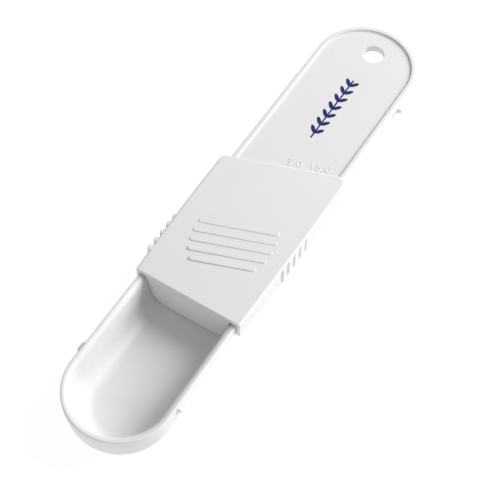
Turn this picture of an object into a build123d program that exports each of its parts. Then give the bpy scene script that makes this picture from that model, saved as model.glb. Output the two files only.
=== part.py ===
from build123d import *
from math import cos, radians, sin, tan
import os

# Adjustable measuring spoon: a long spoon with a trough at one end, and a slider that
# clips round its rim and carries the dam that sets how much of the trough is used.
# Millimetres. +Z up, +Y along the spoon from the bowl to the hanging end, X across it.
# Origin: bottom centre of the whole object, so the flat of the bowl stands on Z = 0.
# Every "from the bowl's centre" below is measured along Y from the centre of its round end.

# ---- driving dimensions -------------------------------------------------------------
overall_length = 178.0
rim_width = 35.0
overall_depth = 14.2          # rim top above the flat of the bowl

# spoon: rim and trough
rim_height = 3.4              # height of the rail that the slider clips round
rim_lip = 1.35                # width of the raised rim beside the deck
rim_edge_radius = 0.4
trough_half_width = 15.3
trough_depth = 12.2
trough_length = 46.0          # from the bowl's centre
trough_draft = 10.5           # degrees
trough_corner_radius = 5.5
trough_lip_radius = 2.0
bowl_wall = 1.3               # wall between the trough and the recess beside it
bowl_back_wall = 2.2
bowl_corner_radius = 6.5
end_draft = 7.0               # degrees, outer walls at the two ends

# spoon: deck and the hollow under it
deck_start = 43.0             # from the bowl's centre, just inside the trough
deck_drop = 0.65              # deck below the rim top
deck_thickness = 2.35
deck_draft = 25.0             # degrees, inside of the rim round the deck
deck_corner_radius = 0.3
side_wall = 1.5               # side walls under the handle
keel_start = 44.5             # where the underside starts to rise, from the bowl's centre
keel_depth_start = 12.6       # below the rim top
keel_depth_tip = 6.2
hole_radius = 3.8
hole_from_centre = 6.6       # from the centre of the handle's round end

# stop nubs, where the slider's travel ends
nub_from_bowl = 5.4           # from the bowl's centre
nub_from_handle = 5.4         # from the centre of the handle's round end
nub_root = 4.0
nub_crest = 2.6
nub_out = 1.1
nub_drop = 0.5                # at the bowl, below the rim top
nub_height = 2.8
far_nub_drop = 3.7            # at the handle, under the rail
far_nub_height = 2.3
nub_slope = 0.9               # bevel along the crest, for the slider to snap over

# slider
slider_front = 35.2           # front face, from the bowl's centre
left_length = 50.4
right_length = 64.3
front_half_width = 18.75
widest_half_width = 19.7      # its bowed sides, and where they are widest
widest_at = 47.6
plate_thickness = 1.8
crown_radius = 900.0          # of the top, along Y
crown_at = 30.0
slide_gap = 0.2               # slider to rail, over it, beside it and under it
hook_gap = 0.25               # hook to the recessed wall
skirt_drop_front = 5.0        # lower edge of the skirts, below the rim top
skirt_drop_rear = 6.4
dam_thickness = 1.6
dam_gap = 0.2
front_edge_radius = 0.35
rear_corner_radius = 3.0
top_edge_radius = 0.75
rear_lip_thickness = 1.5
rear_lip_gap = 0.3            # to the deck, so it passes over the scale's raised figures
rear_lip_half_width = 15.2

# thumb ridges, and the grip ribs on the two sides
ridge_slant = 20.0            # degrees
ridge_first = 14.35           # first ridge at mid-width, behind the front face
ridge_pitch = 3.72            # along Y
ridge_width = 1.6
ridge_height = 0.17
ridge_edge_radius = 0.16
ridge_ends = [(-7.1, 12.6), (-9.5, 13.7), (-10.8, 13.7), (-11.7, 13.3), (-12.1, 12.0)]
rib_left = 8.7                # first rib on each side, behind the front face
rib_right = 23.8
rib_pitch = 3.4
rib_count = 5
rib_reach = 20.15             # outer face of the ribs, from mid-width
rib_width = 2.2
rib_edge_radius = 0.95
rib_end_radius = 0.4          # of the ribs' tops
rib_inset_right = 0.15        # the right-hand ribs stand less proud
rib_root = 3.3                # length of its top, which runs into the plate
rib_top = 1.7                 # above the rim top
rib_bottom_drop = 4.6

# printed ornament on the deck: a stem with leaves on both sides
ink_thickness = 0.08
ink_near_end = 35.0           # nearest the bowl, back from the handle's centre
ink_length = 28.0
stem_width = 0.5
leaf_length = 3.4
leaf_width = 1.3
leaf_pairs = 7
leaf_angle = 42.0             # degrees from the stem

# ---- places worked out from them ----------------------------------------------------
end_radius = rim_width / 2
bowl_y = end_radius - overall_length / 2
handle_y = -bowl_y
rim_z = overall_depth
rail_z = rim_z - rim_height
deck_z = rim_z - deck_drop
recess_half_width = trough_half_width + bowl_wall
recess_start = bowl_y + nub_from_bowl
recess_end = handle_y - nub_from_handle
deck_half_width = end_radius - rim_lip
keel_y = bowl_y + keel_start
keel_drop = keel_depth_start - rim_height
slider_y = bowl_y + slider_front
plate_z = rim_z + slide_gap
top_z = plate_z + plate_thickness
skirt_inner = end_radius + slide_gap
hook_inner = recess_half_width + hook_gap


def tub(half_width, round_y, square_y, top, depth, draft, corner):
    """A drafted tub-shaped solid: half round at round_y, square at square_y, bottom filleted."""
    plan = Pos(0, round_y) * Circle(half_width)
    middle_y = (round_y + square_y) / 2
    plan += Pos(0, middle_y) * Rectangle(2 * half_width, abs(square_y - round_y))
    solid = extrude(Pos(0, 0, top) * plan, amount=-depth, taper=draft)
    if corner:
        solid = fillet(solid.faces().sort_by(Axis.Z)[0].edges(), corner)
    return solid


def slab(y_low, y_high):
    """Everything between two planes across the spoon."""
    return Pos(0, (y_low + y_high) / 2, 0) * Box(100, y_high - y_low, 100)


def side_x(behind):
    """Half width of the slider, that far behind its front face."""
    reach = (behind - widest_at) / widest_at
    return widest_half_width - (widest_half_width - front_half_width) * reach**2


os.makedirs("parts", exist_ok=True)

# ---- spoon blanks -------------------------------------------------------------------
far_y = bowl_y + trough_length + bowl_back_wall
bowl_blank = tub(
    recess_half_width, bowl_y, far_y, rail_z, rail_z, trough_draft, bowl_corner_radius
)
bowl_end = tub(end_radius, bowl_y, bowl_y + 30, rail_z, rail_z, end_draft, bowl_corner_radius)
bowl_end = bowl_end & slab(-overall_length, recess_start)
trough = tub(
    trough_half_width,
    bowl_y,
    bowl_y + trough_length,
    rim_z,
    trough_depth,
    trough_draft,
    trough_corner_radius,
)
deck_pocket = tub(
    deck_half_width,
    handle_y,
    bowl_y + deck_start,
    rim_z,
    deck_drop,
    deck_draft,
    deck_corner_radius,
)

# handle: side walls, flush round end, hollow underneath, underside rising to the tip
wall_length = recess_end - keel_y
handle = Pos(0, keel_y + wall_length / 2, rail_z - keel_drop / 2) * Box(
    2 * recess_half_width, wall_length, keel_drop
)
handle_end = tub(end_radius, handle_y, handle_y - 30, rail_z, keel_drop, end_draft, 0)
handle += handle_end & slab(recess_end, overall_length)
hollow_half_width = recess_half_width - side_wall
hollow_top = deck_z - deck_thickness
handle -= tub(hollow_half_width, handle_y, keel_y - 1, hollow_top, 20, 0, 0)
tip_y = overall_length / 2
keel_low = rim_z - keel_depth_start
keel_tip = rim_z - keel_depth_tip
keel_side = Polygon(
    (keel_y - 1, -5),
    (keel_y - 1, keel_low),
    (keel_y, keel_low),
    (tip_y, keel_tip),
    (tip_y + 5, keel_tip),
    (tip_y + 5, -5),
    align=None,
)
handle -= extrude(Plane.YZ * keel_side, amount=50, both=True)

# ---- spoon --------------------------------------------------------------------------
with BuildPart() as spoon_body:
    # rim rail, right round the spoon
    with BuildSketch(Plane.XY.offset(rail_z)):
        SlotOverall(overall_length, rim_width, rotation=90)
    extrude(amount=rim_height)
    add(bowl_blank)
    add(bowl_end)
    add(handle)
    add(trough, mode=Mode.SUBTRACT)

    # rounded lip along the trough's sides and round end
    mouth = spoon_body.faces().filter_by(Axis.Z).sort_by(Axis.Z)[-1].inner_wires()[0]
    fillet(mouth.edges().sort_by(Axis.Y)[:-1], trough_lip_radius)
    add(deck_pocket, mode=Mode.SUBTRACT)

    # hanging hole
    with BuildSketch(Plane.XY.offset(rim_z)):
        with Locations((0, handle_y + hole_from_centre)):
            Circle(hole_radius)
    extrude(amount=-overall_depth, mode=Mode.SUBTRACT)

    # outer edge of the rim
    rim_top = spoon_body.faces().filter_by(Axis.Z).sort_by(Axis.Z)[-1]
    fillet(rim_top.outer_wire().edges(), rim_edge_radius)

    # stop nubs, two at each end
    nub_base = recess_half_width - 0.2
    nub_tip = end_radius + nub_out
    near_nub = (recess_start, nub_drop, nub_height)
    far_nub = (recess_end, far_nub_drop, far_nub_height)
    for nub_y, drop, height in (near_nub, far_nub):
        for side in (-1, 1):
            with BuildSketch(Plane.XY.offset(rim_z - drop)):
                with Locations((0, nub_y)):
                    Polygon(
                        (side * nub_base, -nub_root / 2),
                        (side * nub_tip, -nub_crest / 2),
                        (side * nub_tip, nub_crest / 2),
                        (side * nub_base, nub_root / 2),
                        align=None,
                    )
            extrude(amount=-height)
        crests = spoon_body.edges().filter_by(Axis.Y).filter_by_position(
            Axis.Z, rim_z - drop - 0.01, rim_z - drop + 0.01
        )
        crests = [edge for edge in crests if abs(edge.center().X) > nub_tip - 0.1]
        chamfer(crests, nub_slope)

# ---- slider blanks ------------------------------------------------------------------
dam_top = plate_z + 0.5
dam_rise = dam_top - rim_z
dam = tub(
    trough_half_width - dam_gap + dam_rise * tan(radians(trough_draft)),
    bowl_y,
    bowl_y + trough_length,
    dam_top,
    trough_depth - dam_gap + dam_rise,
    trough_draft,
    trough_corner_radius - dam_gap,
)
dam = dam & slab(slider_y, slider_y + dam_thickness)
skirt_side = Polygon(
    (slider_y - 5, -20),
    (slider_y - 5, rim_z - skirt_drop_front),
    (slider_y, rim_z - skirt_drop_front),
    (slider_y + right_length, rim_z - skirt_drop_rear),
    (slider_y + right_length + 5, rim_z - skirt_drop_rear),
    (slider_y + right_length + 5, -20),
    align=None,
)
below_skirts = extrude(Plane.YZ * skirt_side, amount=50, both=True)
crown_centre = Pos(0, slider_y + crown_at, top_z - crown_radius)
crown = crown_centre * Rot(0, 90, 0) * Cylinder(crown_radius, 100)
rib_depth = rib_reach - skirt_inner - slide_gap
rib_low = Pos(rib_reach - rib_depth / 2, 0, rim_z - rib_bottom_drop)
rib = extrude(
    rib_low * RectangleRounded(rib_depth, rib_width, rib_edge_radius),
    amount=rib_bottom_drop + rib_top,
)
rib_high = Pos(rib_reach - rib_root / 2, 0, plate_z + 0.3)
rib += extrude(
    rib_high * RectangleRounded(rib_root, rib_width, rib_edge_radius),
    amount=rim_z + rib_top - plate_z - 0.3,
)
rib = fillet(rib.faces().sort_by(Axis.Z)[-1].edges(), rib_end_radius)
rib_on_right = Pos(-rib_inset_right, 0, 0) * rib
rib_on_left = mirror(rib, about=Plane.YZ)

# ---- slider -------------------------------------------------------------------------
with BuildPart() as slider:
    # outer shape: bowed sides, slanted rear edge
    left_front = (-side_x(0), slider_y)
    left_mid = (-side_x(left_length / 2), slider_y + left_length / 2)
    left_rear = (-side_x(left_length), slider_y + left_length)
    right_front = (side_x(0), slider_y)
    right_mid = (side_x(right_length / 2), slider_y + right_length / 2)
    right_rear = (side_x(right_length), slider_y + right_length)
    slider_bottom = rim_z - skirt_drop_rear
    with BuildSketch(Plane.XY.offset(slider_bottom)) as outline:
        with BuildLine():
            Line(left_front, right_front)
            ThreePointArc(right_front, right_mid, right_rear)
            Line(right_rear, left_rear)
            ThreePointArc(left_rear, left_mid, left_front)
        make_face()
        fillet(outline.vertices().sort_by(Axis.Y)[-2:], rear_corner_radius)
    extrude(amount=top_z - slider_bottom)
    add(crown, mode=Mode.INTERSECT)
    top_edges = slider.faces().sort_by(Axis.Z)[-1].edges().sort_by(Axis.Y)
    fillet(top_edges[1:], top_edge_radius)
    front_face = slider.faces().sort_by(Axis.Y)[0]
    fillet(front_face.edges().sort_by(Axis.Z)[1:], front_edge_radius)

    # room for the rail, with a hook left under it on each side
    with BuildSketch(Plane.XY.offset(rail_z - slide_gap)):
        Rectangle(2 * skirt_inner, 3 * overall_length)
    extrude(amount=plate_z - (rail_z - slide_gap), mode=Mode.SUBTRACT)
    with BuildSketch(Plane.XY.offset(slider_bottom)):
        Rectangle(2 * hook_inner, 3 * overall_length)
    extrude(amount=rim_height + 1, mode=Mode.SUBTRACT)
    add(below_skirts, mode=Mode.SUBTRACT)
    add(dam)

    # rear lip, following the slanted rear edge down to the deck
    slant = (right_rear[1] - left_rear[1]) / (right_rear[0] - left_rear[0])
    lip_y = right_rear[1] - slant * right_rear[0]
    lip_run = slant * rear_lip_half_width
    with BuildSketch(Plane.XY.offset(deck_z + rear_lip_gap)):
        with Locations((0, lip_y)):
            Polygon(
                (-rear_lip_half_width, -lip_run),
                (rear_lip_half_width, lip_run),
                (rear_lip_half_width, lip_run - rear_lip_thickness),
                (-rear_lip_half_width, -lip_run - rear_lip_thickness),
                align=None,
            )
    extrude(amount=plate_z - deck_z)

    # thumb ridges
    with BuildSketch(Plane.XY.offset(top_z - 0.5)):
        for index, (left_x, right_x) in enumerate(ridge_ends):
            middle_x = (left_x + right_x) / 2
            row_y = slider_y + ridge_first + index * ridge_pitch
            row_y += middle_x * tan(radians(ridge_slant))
            ridge_length = (right_x - left_x) / cos(radians(ridge_slant))
            with Locations((middle_x, row_y)):
                SlotOverall(ridge_length, ridge_width, rotation=ridge_slant)
    extrude(amount=0.5 + ridge_height)
    ridge_tops = slider.faces().filter_by(Axis.Z).sort_by(Axis.Z)[-len(ridge_ends):]
    fillet(ridge_tops.edges(), ridge_edge_radius)

    # grip ribs
    for index in range(rib_count):
        for piece, first in ((rib_on_left, rib_left), (rib_on_right, rib_right)):
            add(Pos(0, slider_y + first + index * rib_pitch, 0) * piece)

# ---- printed mark -------------------------------------------------------------------
with BuildPart() as printed_mark:
    with BuildSketch(Plane.XY.offset(deck_z)):
        with Locations((0, handle_y - ink_near_end + ink_length / 2)):
            Rectangle(stem_width, ink_length)
        for index in range(leaf_pairs):
            for side in (-1, 1):
                stem_y = handle_y - ink_near_end + 2.2 + index * (ink_length - 5.0) / (leaf_pairs - 1)
                leaf_x = side * leaf_length / 2 * sin(radians(leaf_angle))
                leaf_y = stem_y + leaf_length / 2 * cos(radians(leaf_angle))
                with Locations((leaf_x, leaf_y)):
                    Ellipse(leaf_length / 2, leaf_width / 2, rotation=90 - side * leaf_angle)
    extrude(amount=ink_thickness)

spoon_body.part.label = "spoon_body"
slider.part.label = "slider"
printed_mark.part.label = "printed_mark"
export_step(spoon_body.part, "parts/spoon_body.step")
export_step(slider.part, "parts/slider.step")
export_step(printed_mark.part, "parts/printed_mark.step")
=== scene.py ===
"""Adjustable measuring spoon: two white mouldings and a blue print, under soft studio light.

Everything is in metres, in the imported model's frame: the bowl towards -Y, the hanging hole
towards +Y, and the open side of the trough up. Both mouldings and the print are the CAD's own
solids with procedural materials; the raised figures of the scale are built here.
"""

import math

import bpy
from mathutils import Matrix, Vector


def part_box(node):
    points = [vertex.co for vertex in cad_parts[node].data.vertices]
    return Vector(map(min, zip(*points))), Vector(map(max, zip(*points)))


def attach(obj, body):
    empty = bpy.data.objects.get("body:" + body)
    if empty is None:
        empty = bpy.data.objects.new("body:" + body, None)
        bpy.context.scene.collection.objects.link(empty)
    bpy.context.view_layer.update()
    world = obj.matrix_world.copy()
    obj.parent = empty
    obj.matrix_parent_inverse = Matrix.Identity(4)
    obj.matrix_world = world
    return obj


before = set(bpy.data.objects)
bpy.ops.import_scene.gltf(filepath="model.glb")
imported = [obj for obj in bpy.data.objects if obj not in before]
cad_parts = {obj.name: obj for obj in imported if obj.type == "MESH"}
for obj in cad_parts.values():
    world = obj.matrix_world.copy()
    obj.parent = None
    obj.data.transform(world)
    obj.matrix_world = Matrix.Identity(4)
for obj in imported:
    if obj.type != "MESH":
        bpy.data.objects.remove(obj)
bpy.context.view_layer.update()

MM = 0.001

# ---- camera -------------------------------------------------------------------------
CAMERA_AZIMUTH = 32.415  # degrees, from -Y towards +X
CAMERA_ELEVATION = 57.42  # degrees
CAMERA_DISTANCE = 427.15 * MM
CAMERA_TARGET = Vector((2.04, -9.80, 14.2)) * MM
CAMERA_LENS = 103.27  # millimetres, on a sensor of the next width
CAMERA_SENSOR = 36.0
CAMERA_NEAREST = 0.01
CAMERA_FARTHEST = 20.0

# ---- floor and lights ---------------------------------------------------------------
FLOOR_REACH = 3  # from the middle to each edge
FLOOR_GREY = 0.12
FLOOR_GLOW = 0.93  # its own light, so that it reads as a white background
LIGHT_COLOR = (0.98, 1.0, 1.0)
LIGHT_DISTANCE = 1.2
LIGHT_DIAMETER = 1.0
KEY_DIRECTION = (0.50, 0.66, 0.56)  # from behind the hanging end, right of the spoon
KEY_POWER = 22.4  # watts
FILL_DIRECTION = (0.10, -0.97, 0.22)  # low, from beyond the bowl
FILL_POWER = 4.0
WORLD_STRENGTH = 0.33

# ---- surfaces -----------------------------------------------------------------------
PLASTIC_IOR = 1.49
GRAIN_DETAIL = 3.0
GRAIN_ROUGHNESS = 0.6
FLOW_SIZE = 16 * MM  # of the unevenness that the melt's flow leaves
FLOW_HEIGHT = 0.05 * MM
FLOW_DETAIL = 2.0
GRAIN_SHARE = 0.35  # of the grain in the drift of gloss and colour; the rest is the flow
NOISE_LOW, NOISE_HIGH = 0.3, 0.7  # most of a noise texture's values lie between these

# ---- the scale's raised figures -----------------------------------------------------
DECK_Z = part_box("printed_mark")[0][2]  # the print lies on the deck
FIGURE_HEIGHT = 2.7 * MM  # of a digit
DIGIT_SHARE = 0.69  # a digit's height over the built-in font's size
FIGURE_SPACING = 1.08
FIGURE_SWELL = 0.03 * MM  # by which each outline is thickened
FIGURE_PROUD = 0.09 * MM
FIGURE_ROOT = 0.05 * MM  # below the deck, so that no gap shows
FIGURE_EDGE = 0.05 * MM
FIGURE_EDGE_STEPS = 2
FIGURE_CURVE_STEPS = 6
FIGURE_SLANT = math.radians(18.0)
SPOON_FIGURES_X = 0.9 * MM  # middle of the column of spoon measures
VOLUME_FIGURES_X = 8.9 * MM  # middle of the column of millilitres
FIRST_ROW_Y = 24.4 * MM  # middle of the first row, where X = 0
ROW_PITCH = 7.5 * MM
# the first row shows at rest, and the slider uncovers the others as it moves towards the bowl
ROWS = [("3.0", "15.0"), ("2.5", "12.5"), ("2.0", "10.0"), ("1.5", "7.5")]


# ---- materials ----------------------------------------------------------------------
def shade(color, factor):
    """The colour made lighter or darker by a factor, with full alpha."""
    return (*[channel * factor for channel in color], 1)


def surface(name, color, roughness, specular, grain, grain_height, gloss_spread, tint):
    """A moulded or printed surface.

    It has a fine grain of that size and height, a broad unevenness from the melt's flow, and
    a roughness and colour that drift with the two.
    """
    material = bpy.data.materials.new(name)
    material.use_nodes = True
    nodes = material.node_tree.nodes
    links = material.node_tree.links
    shader = nodes["Principled BSDF"]
    shader.inputs["IOR"].default_value = PLASTIC_IOR
    shader.inputs["Specular IOR Level"].default_value = specular
    coordinates = nodes.new("ShaderNodeTexCoord")

    fine = nodes.new("ShaderNodeTexNoise")
    fine.inputs["Scale"].default_value = 1 / grain
    fine.inputs["Detail"].default_value = GRAIN_DETAIL
    fine.inputs["Roughness"].default_value = GRAIN_ROUGHNESS
    broad = nodes.new("ShaderNodeTexNoise")
    broad.inputs["Scale"].default_value = 1 / FLOW_SIZE
    broad.inputs["Detail"].default_value = FLOW_DETAIL
    for texture in (fine, broad):
        links.new(coordinates.outputs["Object"], texture.inputs["Vector"])

    drift = nodes.new("ShaderNodeMix")
    drift.data_type = "FLOAT"
    drift.inputs["Factor"].default_value = GRAIN_SHARE
    links.new(broad.outputs["Fac"], drift.inputs[2])
    links.new(fine.outputs["Fac"], drift.inputs[3])

    gloss = nodes.new("ShaderNodeMapRange")
    gloss.inputs["From Min"].default_value = NOISE_LOW
    gloss.inputs["From Max"].default_value = NOISE_HIGH
    gloss.inputs["To Min"].default_value = roughness - gloss_spread
    gloss.inputs["To Max"].default_value = roughness + gloss_spread
    links.new(drift.outputs[0], gloss.inputs["Value"])
    links.new(gloss.outputs["Result"], shader.inputs["Roughness"])

    colors = nodes.new("ShaderNodeValToRGB")
    colors.color_ramp.elements[0].position = NOISE_LOW
    colors.color_ramp.elements[0].color = shade(color, 1 - tint)
    colors.color_ramp.elements[1].position = NOISE_HIGH
    colors.color_ramp.elements[1].color = shade(color, 1 + tint)
    links.new(drift.outputs[0], colors.inputs["Fac"])
    links.new(colors.outputs["Color"], shader.inputs["Base Color"])

    flow_bump = nodes.new("ShaderNodeBump")
    flow_bump.inputs["Distance"].default_value = FLOW_HEIGHT
    links.new(broad.outputs["Fac"], flow_bump.inputs["Height"])
    grain_bump = nodes.new("ShaderNodeBump")
    grain_bump.inputs["Distance"].default_value = grain_height
    links.new(fine.outputs["Fac"], grain_bump.inputs["Height"])
    links.new(flow_bump.outputs["Normal"], grain_bump.inputs["Normal"])
    links.new(grain_bump.outputs["Normal"], shader.inputs["Normal"])
    return material


spoon_plastic = surface(
    "spoon_plastic",
    color=(0.715, 0.697, 0.697),
    roughness=0.38,
    specular=0.38,
    grain=0.6 * MM,
    grain_height=0.004 * MM,
    gloss_spread=0.04,
    tint=0.008,
)
slider_plastic = surface(
    "slider_plastic",
    color=(0.708, 0.690, 0.690),
    roughness=0.48,
    specular=0.35,
    grain=0.45 * MM,
    grain_height=0.010 * MM,
    gloss_spread=0.05,
    tint=0.010,
)
ink = surface(
    "ink",
    color=(0.014, 0.016, 0.135),
    roughness=0.50,
    specular=0.30,
    grain=0.25 * MM,
    grain_height=0.006 * MM,
    gloss_spread=0.08,
    tint=0.12,
)

CAD_MATERIALS = {
    "spoon_body": spoon_plastic,
    "slider": slider_plastic,
    "printed_mark": ink,
}
for node, material in CAD_MATERIALS.items():
    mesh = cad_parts[node].data
    mesh.materials.clear()
    mesh.materials.append(material)


# ---- raised figures -----------------------------------------------------------------
def figure_mesh(text):
    """One number as a mesh, centred, from just below Z = 0 to the height it stands proud."""
    curve = bpy.data.curves.new("figure", "FONT")
    curve.body = text
    curve.align_x = "CENTER"
    curve.align_y = "CENTER"
    curve.size = FIGURE_HEIGHT / DIGIT_SHARE
    curve.space_character = FIGURE_SPACING
    curve.offset = FIGURE_SWELL
    curve.extrude = (FIGURE_PROUD + FIGURE_ROOT) / 2 - FIGURE_EDGE
    curve.bevel_depth = FIGURE_EDGE
    curve.bevel_resolution = FIGURE_EDGE_STEPS
    curve.resolution_u = FIGURE_CURVE_STEPS
    source = bpy.data.objects.new("figure", curve)
    bpy.context.scene.collection.objects.link(source)
    bpy.context.view_layer.update()
    ready = source.evaluated_get(bpy.context.evaluated_depsgraph_get())
    mesh = bpy.data.meshes.new_from_object(ready)
    bpy.data.objects.remove(source)
    bpy.data.curves.remove(curve)
    mesh.transform(Matrix.Translation((0, 0, (FIGURE_PROUD - FIGURE_ROOT) / 2)))
    return mesh


for row, texts in enumerate(ROWS):
    for column, (text, x) in enumerate(zip(texts, (SPOON_FIGURES_X, VOLUME_FIGURES_X))):
        mesh = figure_mesh(text)
        y = FIRST_ROW_Y - row * ROW_PITCH + x * math.tan(FIGURE_SLANT)
        mesh.transform(Matrix.Translation((x, y, DECK_Z)) @ Matrix.Rotation(FIGURE_SLANT, 4, "Z"))
        mesh.materials.clear()
        mesh.materials.append(spoon_plastic)
        figure = bpy.data.objects.new(f"scale_figure_{row}_{column}", mesh)
        bpy.context.scene.collection.objects.link(figure)
        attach(figure, "spoon")


# ---- floor, lights, camera ----------------------------------------------------------
def add_floor():
    """A plain pale sheet, bright enough to read as a white background."""
    mesh = bpy.data.meshes.new("floor")
    reach = FLOOR_REACH
    corners = [(-reach, -reach, 0), (reach, -reach, 0), (reach, reach, 0), (-reach, reach, 0)]
    mesh.from_pydata(corners, [], [(0, 1, 2, 3)])
    floor = bpy.data.objects.new("floor", mesh)
    bpy.context.scene.collection.objects.link(floor)
    material = bpy.data.materials.new("floor")
    material.use_nodes = True
    shader = material.node_tree.nodes["Principled BSDF"]
    shader.inputs["Base Color"].default_value = (FLOOR_GREY, FLOOR_GREY, FLOOR_GREY, 1)
    shader.inputs["Roughness"].default_value = 1.0
    shader.inputs["Specular IOR Level"].default_value = 0.0
    shader.inputs["Emission Color"].default_value = (1, 1, 1, 1)
    shader.inputs["Emission Strength"].default_value = FLOOR_GLOW
    mesh.materials.append(material)


def add_world():
    """A faint even light from all round."""
    world = bpy.data.worlds.new("world")
    world.use_nodes = True
    background = world.node_tree.nodes["Background"]
    background.inputs["Color"].default_value = (*LIGHT_COLOR, 1)
    background.inputs["Strength"].default_value = WORLD_STRENGTH
    bpy.context.scene.world = world


def add_area_light(name, direction, power):
    """A large soft disk of light, facing the origin."""
    data = bpy.data.lights.new(name, "AREA")
    data.shape = "DISK"
    data.size = LIGHT_DIAMETER
    data.energy = power
    data.color = LIGHT_COLOR
    light = bpy.data.objects.new(name, data)
    bpy.context.scene.collection.objects.link(light)
    towards = Vector(direction).normalized()
    light.location = towards * LIGHT_DISTANCE
    light.rotation_euler = towards.to_track_quat("Z", "Y").to_euler()


def add_camera():
    """The camera looks from the bowl's side, down along the spoon."""
    azimuth = math.radians(CAMERA_AZIMUTH)
    elevation = math.radians(CAMERA_ELEVATION)
    back = Vector(
        (
            math.sin(azimuth) * math.cos(elevation),
            -math.cos(azimuth) * math.cos(elevation),
            math.sin(elevation),
        )
    )
    data = bpy.data.cameras.new("camera")
    data.lens = CAMERA_LENS
    data.sensor_width = CAMERA_SENSOR
    data.clip_start = CAMERA_NEAREST
    data.clip_end = CAMERA_FARTHEST
    camera = bpy.data.objects.new("camera", data)
    bpy.context.scene.collection.objects.link(camera)
    camera.location = CAMERA_TARGET + back * CAMERA_DISTANCE
    camera.rotation_euler = back.to_track_quat("Z", "Y").to_euler()
    bpy.context.scene.camera = camera


add_floor()
add_world()
add_area_light("key", KEY_DIRECTION, KEY_POWER)
add_area_light("fill", FILL_DIRECTION, FILL_POWER)
add_camera()
bpy.context.scene.view_settings.view_transform = "Standard"
